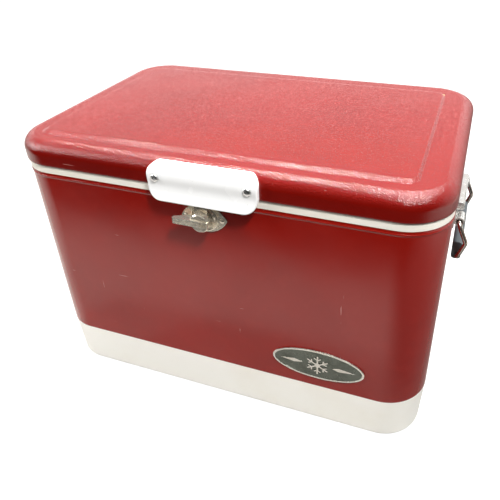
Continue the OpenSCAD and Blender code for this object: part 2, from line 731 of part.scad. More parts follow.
module drain_seal() color(black) difference() {
    drain_axis(drain_in_x + drain_seal_t) cylinder(h = drain_seal_t, r = drain_flange_r - 0.3);
    drain_hole();
}

drain_nut_t = 5;
drain_nut_r = 15;
module drain_nut() color(white) difference() {
    drain_axis(drain_out_x) cylinder(h = drain_nut_t, r = drain_nut_r, $fn = 6);
    drain_hole();
}

// The plug pushes into the spout, and a ring round its shank seals it
plug_head_gap = 0.3;
plug_shank = 14;
plug_ring_w = 2;
plug_ring_in = 1.5;
plug_head_t = 3.4;
plug_head_r = 11;
plug_tab = [7, 3, 14];             // reach, thickness and height of the tab to pull it by

module plug_ring(r) drain_axis(spout_end_x + plug_shank - 3) difference() {
    cylinder(h = plug_ring_w, r = r);
    translate([0, 0, -eps])
        cylinder(h = plug_ring_w + 2 * eps, r = drain_r - run_gap - plug_ring_in);
}

module drain_plug() color(white) {
    difference() {
        drain_axis(spout_end_x + plug_shank)
            cylinder(h = plug_shank + plug_head_gap, r = drain_r - run_gap);
        plug_ring(drain_r + 1);
    }
    drain_axis(spout_end_x - plug_head_gap) cylinder(h = plug_head_t, r = plug_head_r);
    translate([spout_end_x - plug_head_gap - plug_head_t - plug_tab[0], -plug_tab[1] / 2,
        drain_z - plug_tab[2] / 2]) cube(plug_tab + [eps, 0, 0]);
}

module drain_plug_seal() color(black) plug_ring(drain_r - run_gap);

// ---- lid ----

liner_t = 2.5;
plug_in = 38;                          // the plug's distance in from the lid's edge
plug_z = lid_bottom + 1 - plug_h;
gasket_in = 12;
gasket_w = 8;
gasket_bottom = rim_top + 0.4;
gasket_top = lid_bottom + 2;

// Outer and inner face of the steel lid's shoulder, from the skirt up
function shoulder(t) = arc(lid_r - shoulder_w, skirt_top, shoulder_w - t, shoulder_h - t, 0, 90);

// The raised panel as a block, from z up
module panel_block(z) translate([0, panel_y, 0]) {
    around(panel_w, panel_d, panel_r) polygon([[0, z], [panel_r, z],
        [panel_r - panel_slope, z + panel_h], [0, z + panel_h]]);
    middle(panel_w, panel_d, panel_r, z, z + panel_h);
}

module lid_shell() color(red) difference() {
    union() {
        around_lid() polygon(concat(
            [[lid_r - steel_t, lid_bottom + steel_t], [lid_r - 3.5, lid_bottom + steel_t],
             [lid_r - 3.5, lid_bottom], [lid_r, lid_bottom]],
            shoulder(0), [[0, lid_top], [0, lid_top - steel_t]],
            [for (i = [arc_steps:-1:0]) shoulder(steel_t)[i]]));
        middle(lid_w, lid_d, lid_r, lid_top - steel_t, lid_top);
        panel_block(lid_top);
    }
    panel_block(lid_top - steel_t);
    lid_fastener_holes();
}

module lid_foam() color(foam_yellow) difference() {
    union() {
        around_lid() polygon(concat(
            [[0, plug_z + liner_t], [lid_r - plug_in - liner_t - 1, plug_z + liner_t],
             [lid_r - plug_in - liner_t, lid_bottom + 1 + liner_t],
             [lid_r - steel_t, lid_bottom + 1 + liner_t]],
            shoulder(steel_t), [[0, lid_top - steel_t]]));
        middle(lid_w, lid_d, lid_r, plug_z + liner_t, lid_top - steel_t);
        panel_block(lid_top - steel_t);
    }
    lid_fastener_holes();
}

module lid_liner() color(white) {
    around_lid() polygon([
        [lid_r - steel_t, lid_bottom + 1], [lid_r - steel_t, lid_bottom + 1 + liner_t],
        [lid_r - plug_in - liner_t, lid_bottom + 1 + liner_t],
        [lid_r - plug_in - liner_t - 1, plug_z + liner_t], [0, plug_z + liner_t], [0, plug_z],
        [lid_r - plug_in - 4, plug_z], [lid_r - plug_in - 1.6, plug_z + 1.2],
        [lid_r - plug_in - 0.7, plug_z + 4], [lid_r - plug_in, lid_bottom + 1],
        [lid_r - gasket_in - gasket_w, lid_bottom + 1],
        [lid_r - gasket_in - gasket_w, gasket_top], [lid_r - gasket_in, gasket_top],
        [lid_r - gasket_in, lid_bottom + 1]]);
    middle(lid_w, lid_d, lid_r, plug_z, plug_z + liner_t);
}

module lid_gasket() color(black) around_lid() polygon([
    [lid_r - gasket_in - gasket_w, gasket_top],
    [lid_r - gasket_in - gasket_w, gasket_bottom + 1],
    [lid_r - gasket_in - gasket_w + 1.5, gasket_bottom],
    [lid_r - gasket_in - 1.5, gasket_bottom], [lid_r - gasket_in, gasket_bottom + 1],
    [lid_r - gasket_in, gasket_top]]);

// ---- lid pull ----

pull_t = 3;
pull_top = lid_top - 2;
// Front face of the pull as [distance out from the lid's skirt, height]
pull_face = [
    [12.5, pull_bottom], [10.2, lid_bottom - 10], [8.4, lid_bottom - 4], [7.5, lid_bottom + 3],
    [7.7, lid_bottom + 9], [8, lid_bottom + 15], [7, lid_bottom + 21], [4, lid_bottom + 27],
    [-1.5, pull_top - 0.6], [-4, pull_top]];
pull_seat = 7.6;                       // how far out the screw heads sit
pull_boss_r = 6.5;
pull_boss_l = 6.5;
pull_seat_r = 5.3;

// The pull's side view, [y, z]: the lid's shoulder and skirt, then the gap in front of the wrap
function pull_back() = concat(
    [for (a = [54:-9:0])
        [lid_front + shoulder_w * (1 - cos(a)), skirt_top + shoulder_h * sin(a)]],
    [[lid_front, lid_bottom], [front_y - 4, lid_bottom], [front_y - 4, pull_bottom]]);
module pull_side(points) rotate([90, 0, 90]) translate([0, 0, -pull_w])
    linear_extrude(2 * pull_w) polygon(points);
module pull_outline(half_w, z0, z1, r) on_front(0, 0, 0) translate([0, 0, 150])
    linear_extrude(100) translate([pull_x, (z0 + z1) / 2]) plan(2 * half_w, z1 - z0, r);

module lid_handle() color(white) difference() {
    union() {
        difference() {
            intersection() {
                pull_side(concat([for (q = pull_face) [lid_front - q[0], q[1]]], pull_back()));
                pull_outline(pull_w / 2, pull_bottom, pull_top, 15);
            }
            // Hollow, open at the back and below
            intersection() {
                pull_side(concat(
                    [[lid_front - pull_face[0][0] + pull_t, pull_bottom - 1]],
                    [for (i = [0:len(pull_face) - 2]) let (q = pull_face[i])
                        [lid_front - q[0] + pull_t, q[1] - (q[1] > skirt_top ? 2.4 : 0)]],
                    [[lid_front + 15, pull_top - pull_t], [lid_front + 15, pull_bottom - 1]]));
                pull_outline(pull_w / 2 - pull_t, pull_bottom - 40, pull_top - pull_t, 12);
            }
        }
        pull_screw_places() cylinder(h = pull_boss_l, r = pull_boss_r);
    }
    pull_screw_places() translate([0, 0, -1]) cylinder(h = 20, r = screw_r);
    pull_screw_places() translate([0, 0, pull_seat]) cylinder(h = 20, r = pull_seat_r);
}

module lid_handle_screws() color(bright) pull_screw_places()
    translate([0, 0, pull_seat]) pan_screw(5, 2.8, screw_r, screw_in + pull_seat - 1);

base_tray();
outer_shell();
rear_seam_strip();
insulation_floor();
insulation_front();
insulation_rear();
insulation_right();
insulation_left();
inner_liner();
top_rim();
badge_plate();
badge_field();
badge_emblem();
latch_plate();
latch_plate_screws();
hinge_leaf_body_right();
hinge_leaf_body_left();
hinge_pin_right();
hinge_pin_left();
hinge_screws_body();
handle_bracket_right();
handle_bracket_left();
bracket_screws_right();
bracket_screws_left();
drain_spout();
drain_nut();
drain_seal();
lid_shell();
lid_liner();
lid_foam();
lid_gasket();
lid_handle();
lid_handle_screws();
latch_strike();
strike_rivets();
hinge_leaf_lid_right();
hinge_leaf_lid_left();
hinge_screws_lid();
latch_lever();
latch_cam();
latch_spindle();
latch_spring_washer();
bail_wire_right();
bail_grip_right();
bail_wire_left();
bail_grip_left();
drain_plug();
drain_plug_seal();
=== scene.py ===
import math

import bmesh
import bpy
from mathutils import Matrix, Vector


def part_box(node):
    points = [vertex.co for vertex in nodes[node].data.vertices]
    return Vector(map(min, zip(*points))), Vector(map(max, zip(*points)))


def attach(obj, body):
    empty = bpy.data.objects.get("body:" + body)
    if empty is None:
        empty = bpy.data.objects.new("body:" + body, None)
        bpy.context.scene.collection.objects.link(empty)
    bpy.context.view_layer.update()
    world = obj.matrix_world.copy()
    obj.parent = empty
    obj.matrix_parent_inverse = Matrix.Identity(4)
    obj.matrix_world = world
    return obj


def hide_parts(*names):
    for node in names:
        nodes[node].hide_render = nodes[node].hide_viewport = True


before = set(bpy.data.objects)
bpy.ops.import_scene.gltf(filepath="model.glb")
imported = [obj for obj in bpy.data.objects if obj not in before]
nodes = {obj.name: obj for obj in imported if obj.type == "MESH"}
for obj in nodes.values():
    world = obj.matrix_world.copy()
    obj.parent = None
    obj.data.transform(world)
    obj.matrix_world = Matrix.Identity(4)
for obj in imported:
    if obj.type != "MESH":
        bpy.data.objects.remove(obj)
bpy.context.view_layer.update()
scene = bpy.context.scene
MM = 0.001


# ---------------------------------------------------------------- places, from the CAD boxes

def low(node, axis):
    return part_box(node)[0][axis] / MM


def high(node, axis):
    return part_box(node)[1][axis] / MM


X, Y, Z = 0, 1, 2
SHEET = 1                                        # thickness of the wrap's and the lid's steel
BODY_W = 2 * (high("insulation_right", X) + SHEET)
BODY_D = 2 * (high("insulation_rear", Y) + SHEET)
BODY_R = 60
WRAP_LOW, WRAP_TOP = low("outer_shell", Z), high("outer_shell", Z)
RIM_TOP = high("top_rim", Z)
LID_W, LID_D, LID_R = 2 * high("lid_shell", X), 2 * high("lid_shell", Y), 62
LID_LOW, PANEL_TOP = low("lid_shell", Z), high("lid_shell", Z)
PANEL_RISE = 3
LID_TOP = PANEL_TOP - PANEL_RISE
SKIRT_TOP = LID_LOW + 14                         # top of the lid's upright side
SHOULDER = 20                                    # how far in the rounding above it runs
FRONT, LID_FRONT = -BODY_D / 2, -LID_D / 2


# ---------------------------------------------------------------- mesh building

def make(name, verts, faces, sharp=32):
    """A mesh object from points in millimetres, smooth except across edges sharper than that."""
    mesh = bpy.data.meshes.new(name)
    mesh.from_pydata([[c * MM for c in v] for v in verts], [], faces)
    mesh.validate()
    mesh.polygons.foreach_set("use_smooth", [True] * len(mesh.polygons))
    mesh.set_sharp_from_angle(angle=math.radians(sharp))
    ob = bpy.data.objects.new(name, mesh)
    scene.collection.objects.link(ob)
    normals = ob.modifiers.new("normals", "WEIGHTED_NORMAL")
    normals.keep_sharp = True
    normals.weight = 100
    return ob


def loop(w, d, r, z, y0=0.0, seg=20, x0=0.0):
    """A rounded rectangle at height z, anticlockwise from its right-hand side."""
    r = min(r, w / 2 - 0.01, d / 2 - 0.01)
    out = []
    for k, (sx, sy) in enumerate(((1, 1), (-1, 1), (-1, -1), (1, -1))):
        for j in range(seg + 1):
            a = math.radians(90 * k + 90 * j / seg)
            out.append((x0 + sx * (w / 2 - r) + r * math.cos(a),
                        y0 + sy * (d / 2 - r) + r * math.sin(a), z))
    return out


def skin(name, loops, closed=False, caps=(False, False), sharp=32):
    """Quads between neighbouring loops of equal length; the ends are capped or joined."""
    n = len(loops[0])
    verts = [p for l in loops for p in l]
    faces = []
    rows = len(loops)
    for i in range(rows if closed else rows - 1):
        a, b = i * n, (i + 1) % rows * n
        for j in range(n):
            k = (j + 1) % n
            faces.append((a + j, a + k, b + k, b + j))
    if caps[0]:
        faces.append(tuple(range(n))[::-1])
    if caps[1]:
        faces.append(tuple(range((rows - 1) * n, rows * n)))
    return make(name, verts, faces, sharp)


def body_loop(out, z, seg=20):
    return loop(BODY_W + 2 * out, BODY_D + 2 * out, BODY_R + out, z, 0, seg)


def lid_loop(out, z):
    return loop(LID_W + 2 * out, LID_D + 2 * out, LID_R + out, z)


def arc(cx, cy, rx, ry, a0, a1, n):
    return [(cx + rx * math.cos(math.radians(a0 + (a1 - a0) * i / n)),
             cy + ry * math.sin(math.radians(a0 + (a1 - a0) * i / n))) for i in range(n + 1)]


def smooth(t):
    t = max(0.0, min(1.0, t))
    return t * t * (3 - 2 * t)


def ease(table, x):
    """Catmull-Rom through (x, y) pairs."""
    pts = [table[0]] + list(table) + [table[-1]]
    for i in range(1, len(pts) - 2):
        (x0, y0), (x1, y1), (x2, y2), (x3, y3) = pts[i - 1:i + 3]
        if x <= x2 or i == len(pts) - 3:
            h = x2 - x1
            t = max(0.0, min(1.0, (x - x1) / h))
            m1 = (y2 - y0) / max(x2 - x0, 1e-6) * h
            m2 = (y3 - y1) / max(x3 - x1, 1e-6) * h
            return ((2 * t ** 3 - 3 * t ** 2 + 1) * y1 + (t ** 3 - 2 * t ** 2 + t) * m1
                    + (-2 * t ** 3 + 3 * t ** 2) * y2 + (t ** 3 - t ** 2) * m2)
    return table[-1][1]


# ---------------------------------------------------------------- materials

class Tree:
    """A material's node tree, with short ways to add and link nodes."""

    def __init__(self, name):
        self.mat = bpy.data.materials.new(name)
        self.mat.use_nodes = True
        self.nodes = self.mat.node_tree.nodes
        self.links = self.mat.node_tree.links
        self.nodes.clear()
        self.out = self.nodes.new("ShaderNodeOutputMaterial")
        self.where = self.add("ShaderNodeTexCoord").outputs["Object"]

    def add(self, kind, props=None, ins=None):
        n = self.nodes.new(kind)
        for k, v in (props or {}).items():
            setattr(n, k, v)
        for k, v in (ins or {}).items():
            if isinstance(v, bpy.types.NodeSocket):
                self.links.new(v, n.inputs[k])
            else:
                n.inputs[k].default_value = v
        return n

    def noise(self, scale, detail=2.0, rough=0.5, stretch=None):
        where = self.where
        if stretch:
            where = self.add("ShaderNodeMapping", None, {0: where, 3: stretch}).outputs[0]
        return self.add("ShaderNodeTexNoise", None, {
            "Vector": where, "Scale": scale, "Detail": detail, "Roughness": rough}).outputs["Fac"]

    def ramp(self, x, a, b, lo=0.0, hi=1.0):
        return self.add("ShaderNodeMapRange", {"interpolation_type": "SMOOTHSTEP"}, {
            0: x, 1: a, 2: b, 3: lo, 4: hi}).outputs[0]

    def math(self, op, a, b=0.0):
        return self.add("ShaderNodeMath", {"operation": op}, {0: a, 1: b}).outputs[0]

    def mix(self, fac, a, b):
        n = self.add("ShaderNodeMix", {"data_type": "RGBA"}, {0: fac})
        for k, v in ((6, a), (7, b)):
            if isinstance(v, bpy.types.NodeSocket):
                self.links.new(v, n.inputs[k])
            else:
                n.inputs[k].default_value = (*v, 1)
        return n.outputs[2]

    def edges(self, radius):
        """1 at convex and concave edges, 0 on flat faces."""
        soft = self.add("ShaderNodeBevel", {"samples": 4}, {"Radius": radius}).outputs[0]
        hard = self.add("ShaderNodeNewGeometry").outputs["Normal"]
        dot = self.add("ShaderNodeVectorMath", {"operation": "DOT_PRODUCT"},
                       {0: soft, 1: hard}).outputs["Value"]
        return self.ramp(self.math("SUBTRACT", 1.0, dot), 0.02, 0.2)

    def bump(self, height, distance, normal=None, strength=1.0):
        ins = {"Height": height, "Distance": distance, "Strength": strength}
        if normal:
            ins["Normal"] = normal
        return self.add("ShaderNodeBump", None, ins).outputs[0]

    def principled(self, ins, plain=None):
        n = self.add("ShaderNodeBsdfPrincipled", None, ins)
        for k, v in (plain or {}).items():
            n.inputs[k].default_value = v
        self.links.new(n.outputs[0], self.out.inputs[0])
        return self.mat


def paint(name, deep, worn, cells, depth):
    """Glossy enamel with hairline scratches and rubbed edges.

    cells is how many grains there are to a metre, and depth is how deep they are in metres.
    """
    t = Tree(name)
    cloud = t.noise(5.0, 3.0)
    fine = t.noise(60.0, 2.0)
    colour = t.mix(t.ramp(cloud, 0.35, 0.7), deep, [c * 0.86 for c in deep])
    colour = t.mix(t.ramp(fine, 0.45, 0.75, 0.0, 0.25), colour, worn)
    # Hairline scratches in two directions, only in a few patches
    patches = t.ramp(t.noise(9.0, 1.0), 0.60, 0.70)
    long_x = t.ramp(t.noise(260.0, 2.0, 0.6, (0.05, 1.0, 1.0)), 0.715, 0.74)
    long_z = t.ramp(t.noise(240.0, 2.0, 0.6, (1.0, 0.7, 0.06)), 0.72, 0.745)
    marks = t.math("MULTIPLY", patches, t.math("MAXIMUM", long_x, long_z))
    edge = t.math("MULTIPLY", t.edges(0.0012), t.ramp(t.noise(120.0, 3.0), 0.5, 0.68))
    rubbed = t.math("MAXIMUM", marks, t.math("MULTIPLY", edge, 0.7))
    colour = t.mix(t.math("MULTIPLY", rubbed, 0.55), colour, (0.62, 0.30, 0.26))
    grain = t.add("ShaderNodeTexVoronoi", {"feature": "SMOOTH_F1"}, {
        "Vector": t.where, "Scale": cells, "Smoothness": 0.25}).outputs["Distance"]
    ripple = t.noise(760.0, 1.0, 0.5, (0.6, 1.0, 1.0))
    height = t.math("ADD", grain, t.math("MULTIPLY", ripple, 1.2))
    # The grain is deepest where the sheet is drawn over a shoulder
    up = t.add("ShaderNodeSeparateXYZ", None, {
        0: t.add("ShaderNodeNewGeometry").outputs["Normal"]}).outputs[2]
    drawn = t.math("MULTIPLY", t.ramp(up, 0.15, 0.5, 0.2, 1.0), t.ramp(up, 0.97, 0.998, 1.0, 0.4))
    normal = t.bump(height, depth, t.bump(t.noise(16.0, 0.0), 0.0004), drawn)
    rough = t.ramp(t.noise(14.0, 3.0), 0.3, 0.75, 0.13, 0.20)
    return t.principled({"Base Color": colour, "Roughness": t.math(
        "ADD", rough, t.math("MULTIPLY", rubbed, 0.25)), "Normal": normal},
        {"IOR": 1.5, "Specular IOR Level": 0.5})


def plastic(name, base, stain, rough=0.3, grain=0.00003, scale=900.0, edge=(0.95, 0.94, 0.9)):
    """Moulded plastic: a fine grain, slight yellowing in clouds and scuffed edges."""
    t = Tree(name)
    cloud = t.ramp(t.noise(7.0, 4.0, 0.6), 0.42, 0.78)
    colour = t.mix(t.math("MULTIPLY", cloud, 0.5), base, stain)
    specks = t.ramp(t.noise(420.0, 2.0), 0.70, 0.76)
    colour = t.mix(t.math("MULTIPLY", specks, 0.25), colour, [c * 0.55 for c in stain])
    wear = t.math("MULTIPLY", t.edges(0.0012), t.ramp(t.noise(150.0, 3.0), 0.45, 0.65))
    colour = t.mix(t.math("MULTIPLY", wear, 0.35), colour, edge)
    normal = t.bump(t.noise(scale, 2.0), grain, t.bump(t.noise(35.0, 1.0), 0.0003))
    return t.principled({"Base Color": colour, "Normal": normal, "Roughness": t.ramp(
        t.noise(30.0, 3.0), 0.3, 0.75, rough - 0.05, rough + 0.09)}, {"IOR": 1.48})


def metal(name, base, dull, rough=0.22, brushed=(1.0, 1.0, 1.0), scratch=0.00002, grime=0.5,
          plated=1.0):
    """Plated steel: brush lines, tarnish clouds, dark pits and bright rubbed edges."""
    t = Tree(name)
    cloud = t.ramp(t.noise(45.0, 4.0, 0.65), 0.42, 0.72)
    colour = t.mix(cloud, base, dull)
    pits = t.ramp(t.noise(700.0, 2.0), 0.66, 0.74)
    colour = t.mix(t.math("MULTIPLY", pits, 0.6 * grime), colour, [c * 0.35 for c in dull])
    edge = t.edges(0.0008)
    colour = t.mix(t.math("MULTIPLY", edge, 0.5), colour, [min(1, c * 1.25) for c in base])
    lines = t.noise(900.0, 3.0, 0.7, brushed)
    normal = t.bump(lines, scratch)
    rough_map = t.math("ADD", t.ramp(t.noise(90.0, 3.0), 0.3, 0.75, rough - 0.07, rough + 0.1),
                       t.math("MULTIPLY", pits, 0.2))
    return t.principled({"Base Color": colour, "Roughness": rough_map, "Normal": normal},
                        {"Metallic": plated})


def rubber(name, base):
    t = Tree(name)
    colour = t.mix(t.ramp(t.noise(40.0, 4.0), 0.4, 0.7), base, [c * 1.8 + 0.02 for c in base])
    return t.principled({"Base Color": colour, "Normal": t.bump(t.noise(1200.0), 0.00003),
                         "Roughness": t.ramp(t.noise(70.0), 0.3, 0.7, 0.5, 0.72)})


def foam(name):
    t = Tree(name)
    cells = t.add("ShaderNodeTexVoronoi", None, {"Vector": t.where, "Scale": 900.0})
    colour = t.mix(t.ramp(t.noise(20.0, 4.0), 0.35, 0.7), (0.72, 0.6, 0.3), (0.6, 0.45, 0.2))
    return t.principled({"Base Color": colour, "Roughness": t.ramp(t.noise(60.0), 0, 1, 0.8, 1),
                         "Normal": t.bump(cells.outputs["Distance"], 0.0002)})


RED = paint("red_enamel", (0.25, 0.0048, 0.0014), (0.275, 0.0085, 0.0040),
            640.0, 0.00022)
# The lid's red is a darker copy of the body's enamel: painted shade for the lid's less lit front
LID_RED_SHADED = paint("lid_enamel_shaded", (0.168, 0.0028, 0.0009), (0.188, 0.0052, 0.0023),
                700.0, 0.00034)
BASE = plastic("base_white", (0.92, 0.91, 0.86), (0.84, 0.80, 0.70), 0.36, 0.00005, 700.0)
TUB = plastic("tub_white", (0.72, 0.72, 0.69), (0.66, 0.63, 0.56), 0.34)
RIM = plastic("rim_cream", (0.88, 0.84, 0.75), (0.80, 0.73, 0.60), 0.34)
PULL = plastic("pull_white", (0.92, 0.92, 0.91), (0.87, 0.86, 0.82), 0.22, 0.00001)
DRAIN = plastic("drain_white", (0.80, 0.80, 0.77), (0.70, 0.67, 0.6), 0.38)
GRIP = plastic("grip_slate", (0.055, 0.066, 0.072), (0.035, 0.04, 0.043), 0.42, 0.00006, 800.0,
               (0.16, 0.17, 0.17))
NICKEL = metal("latch_nickel", (0.90, 0.84, 0.72), (0.62, 0.54, 0.42), 0.2, (1, 0.1, 1), 0.00001,
               0.4, 0.8)
CHROME = metal("screw_chrome", (0.82, 0.82, 0.81), (0.64, 0.63, 0.61), 0.30)
ZINC = metal("hinge_zinc", (0.62, 0.62, 0.61), (0.46, 0.45, 0.42), 0.3, (0.1, 1, 1))
BRACKET = metal("bracket_chrome", (0.72, 0.71, 0.68), (0.62, 0.60, 0.56), 0.26, (1, 0.05, 1),
                0.000005, 0.1, 0.9)
WIRE = metal("wire_chrome", (0.55, 0.50, 0.45), (0.30, 0.22, 0.17), 0.2, (1, 1, 1), 0.00002, 0.9)
SPRING = metal("spring_steel", (0.5, 0.5, 0.5), (0.35, 0.34, 0.32), 0.35)
SILVER = metal("badge_silver", (0.80, 0.79, 0.74), (0.66, 0.65, 0.58), 0.2, (0.06, 1, 1))
ENAMEL = metal("badge_field_grey", (0.145, 0.16, 0.14), (0.095, 0.105, 0.09), 0.3, (1, 1, 0.06))
RUBBER = rubber("seal_rubber", (0.03, 0.03, 0.03))
FOAM = foam("foam_yellow")


# ---------------------------------------------------------------- red wrap, base, rim and tub

def finish_piece(ob, body, slot, mat, *replaced):
    ob.data.materials.append(mat)
    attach(ob, body)
    if replaced:
        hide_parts(*replaced)


# Each section is a list of (how far outside the wrap's or the lid's side, height)
BEAD, BEAD_OUT, BEAD_HALF = WRAP_TOP - 5, 0.84, 1.35
wrap = [(-1, WRAP_LOW + 0.1), (-0.75, WRAP_LOW), (-0.35, WRAP_LOW), (-0.1, WRAP_LOW + 0.15),
        (0, WRAP_LOW + 0.5), (0, WRAP_LOW + 8), (0, BEAD - 3.2), (0, BEAD - 1.9)]
wrap += [(BEAD_OUT * math.cos(math.radians(a)), BEAD + BEAD_HALF * math.sin(math.radians(a)))
         for a in range(-65, 66, 10)]
wrap += [(0, BEAD + 1.9), (0, WRAP_TOP - 1.2), (-0.15, WRAP_TOP - 0.4), (-0.6, WRAP_TOP - 0.1),
         (-1, WRAP_TOP - 0.1), (-1, WRAP_TOP - 12), (-1, WRAP_LOW + 20)]
finish_piece(skin("steel_wrap", [body_loop(o, z, 28) for o, z in wrap], closed=True), "chest",
             "red_paint", RED, "outer_shell")

MIDDLE = -BODY_R + 1                             # as far in as a section of the body can go
FOOT_IN, FOOT_R, RECESS, LIP_TOP = -3, 7, 3, WRAP_LOW + 13
tray = [(MIDDLE, RECESS), (-46, RECESS), (-43.5, 2.2), (-42.3, 0.4), (-41.4, 0)]
tray += [(FOOT_IN - FOOT_R + x, z) for x, z in arc(0, FOOT_R, FOOT_R, FOOT_R, -90, 0, 10)]
tray += [(-2.2, 26), (-1.1, 50), (-0.15, WRAP_LOW - 1.4), (-0.3, WRAP_LOW - 0.5),
         (-0.8, WRAP_LOW - 0.1), (-1, WRAP_LOW), (-1, LIP_TOP), (-4, LIP_TOP), (-4, WRAP_LOW),
         (-7, 10), (-7, 6), (MIDDLE, 6)]
finish_piece(skin("base_moulding", [body_loop(o, z, 28) for o, z in tray], caps=(True, True)),
             "chest", "base_plastic", BASE, "base_tray")

rim = [(-4, WRAP_TOP + 0.05), (0.1, WRAP_TOP + 0.05), (0.4, WRAP_TOP + 0.3),
       (0.5, WRAP_TOP + 0.9), (0.5, RIM_TOP - 1.2), (0.3, RIM_TOP - 0.5), (-0.3, RIM_TOP - 0.08),
       (-1, RIM_TOP), (-8, RIM_TOP), (-8, WRAP_TOP + 0.05)]
finish_piece(skin("cream_rim", [body_loop(o, z, 28) for o, z in rim], closed=True), "chest",
             "rim_plastic", RIM, "top_rim")

FLOOR, FLOOR_MIDDLE, TUB_FOOT_R = 46, -58, 3
tub = [(FLOOR_MIDDLE, FLOOR - 3), (-41, FLOOR - 3), (-36.5, FLOOR - 1.5), (-35, FLOOR + 3),
       (-29, RIM_TOP - 3)]
tub += [(-8, RIM_TOP - 3), (-8, RIM_TOP - 0.05), (-31, RIM_TOP - 0.05), (-31.8, RIM_TOP - 0.4),
       (-32.2, RIM_TOP - 1.2), (-32.4, RIM_TOP - 8), (-33.1, RIM_TOP - 9), (-33.4, RIM_TOP - 16)]
tub += [(-38 - TUB_FOOT_R + x, z)
        for x, z in arc(0, FLOOR + TUB_FOOT_R, TUB_FOOT_R, TUB_FOOT_R, 0, -90, 6)]
tub += [(-50, FLOOR), (-51.5, FLOOR + 0.9), (-55, FLOOR + 0.9), (-56.5, FLOOR)]
tub += [(FLOOR_MIDDLE, FLOOR)]
finish_piece(skin("tub", [body_loop(o, z) for o, z in tub], caps=(True, True)), "chest",
             "tub_plastic", TUB, "inner_liner")


# ---------------------------------------------------------------- lid

# The raised panel's left, right, front and back edges at the foot of its slope, and how far
# each one moves on the way up. The slope is widest in front.
PANEL_FOOT, PANEL_RUN = (-265, 256, -169, 157), (6, -5, 16, -11)


def lid_steel():
    rows = [lid_loop(-3.4, LID_LOW + 1.0), lid_loop(-3.4, LID_LOW + 0.4),
            lid_loop(-2.9, LID_LOW), lid_loop(-0.9, LID_LOW), lid_loop(-0.25, LID_LOW + 0.3),
            lid_loop(0, LID_LOW + 1.0), lid_loop(0, LID_LOW + 4), lid_loop(0, SKIRT_TOP - 3)]
    for x, z in arc(-SHOULDER, SKIRT_TOP, SHOULDER, LID_TOP - SKIRT_TOP, 0, 90, 26):
        rows.append(lid_loop(x, z))
    rows.append(lid_loop(-24, LID_TOP))
    steps = 12
    for i in range(steps + 1):
        s = i / steps
        left, right, front, back = (foot + run * s for foot, run in zip(PANEL_FOOT, PANEL_RUN))
        rows.append(loop(right - left, back - front, 20 - 8 * s, LID_TOP + PANEL_RISE * smooth(s),
                         (front + back) / 2, 20, (left + right) / 2))
    rows.append(loop(490, 270, 8, PANEL_TOP, 0, 20, -3))
    inner_rows = [lid_loop(-SHEET, LID_LOW + 1.0), lid_loop(-SHEET, SKIRT_TOP)]
    for x, z in arc(-SHOULDER, SKIRT_TOP, SHOULDER - SHEET, LID_TOP - SKIRT_TOP - SHEET, 20, 90, 6):
        inner_rows.append(lid_loop(x, z))
    inner_rows.append(loop(480, 267, 8, LID_TOP - SHEET, 3.5))
    return skin("lid_steel", inner_rows[::-1] + rows, caps=(True, True))


finish_piece(lid_steel(), "lid", "lid_paint", LID_RED_SHADED, "lid_shell")

PLUG = low("lid_liner", Z)


def lid_underside():
    """The lid's lining, from the middle of its lower face out to the edge and back above."""
    w, d = LID_W - 150, LID_D - 150              # the shallow tray pressed into its middle
    rows = [loop(w - 60, d - 60, 8, PLUG + 2.5), lid_loop(-42, PLUG + 2.5),
            lid_loop(-41, LID_LOW + 3.4), lid_loop(-1.05, LID_LOW + 3.4),
            lid_loop(-1.05, LID_LOW + 1.05),
            lid_loop(-12, LID_LOW + 1), lid_loop(-12, LID_LOW + 2), lid_loop(-20, LID_LOW + 2),
            lid_loop(-20, LID_LOW + 1), lid_loop(-37, LID_LOW + 1), lid_loop(-38, LID_LOW + 0.2),
            lid_loop(-38.4, PLUG + 5), lid_loop(-39, PLUG + 2.4), lid_loop(-40.3, PLUG + 0.6),
            lid_loop(-42.5, PLUG), lid_loop(-58, PLUG)]
    for out, z in ((0, 0), (-1.5, 0.35), (-3.5, 1.3), (-5, 1.65), (-30, 1.65)):
        rows.append(loop(w + 2 * out, d + 2 * out, 24 + out * 0.5, PLUG + z))
    return rows[::-1]


finish_piece(skin("lid_inner", lid_underside(), caps=(True, True)), "lid", "tub_plastic", TUB,
             "lid_liner")
seal = [(-20, LID_LOW + 1.9), (-20, LID_LOW + 0.6), (-19.3, LID_LOW - 0.2), (-18, LID_LOW - 0.55),
        (-16.6, LID_LOW - 0.2), (-16, LID_LOW + 0.2), (-15.4, LID_LOW - 0.2),
        (-14, LID_LOW - 0.55), (-12.7, LID_LOW - 0.2), (-12, LID_LOW + 0.6), (-12, LID_LOW + 1.9)]
finish_piece(skin("lid_seal", [lid_loop(o, z) for o, z in seal], closed=True, sharp=50), "lid",
             "seal_rubber", RUBBER, "lid_gasket")


# ---------------------------------------------------------------- lid pull

PULL_LOW, PULL_HIGH = low("lid_handle", Z), high("lid_handle", Z)
PULL_HALF = (high("lid_handle", X) - low("lid_handle", X)) / 2
PULL_X = (high("lid_handle", X) + low("lid_handle", X)) / 2
PULL_FACE = [(PULL_LOW, 12.5), (LID_LOW - 10, 10.2), (LID_LOW - 4, 8.4), (LID_LOW + 3, 7.5),
             (LID_LOW + 9, 7.7), (LID_LOW + 15, 8.0), (LID_LOW + 21, 7.0), (LID_LOW + 27, 4.0),
             (PULL_HIGH - 0.6, -1.5), (PULL_HIGH, -4.0)]
PULL_T = 3
PULL_EDGE = 2.2                                  # radius round the pull's front edge
PULL_R_HIGH, PULL_R_LOW = 13, 18                 # its lower corners are rounder
PULL_SEG = 14                                    # points round each corner
HOLLOW_HALF, HOLLOW_H = 55, 14                   # the hollow for the fingers, open below


def pull_front(z):
    return LID_FRONT - ease(PULL_FACE, z)


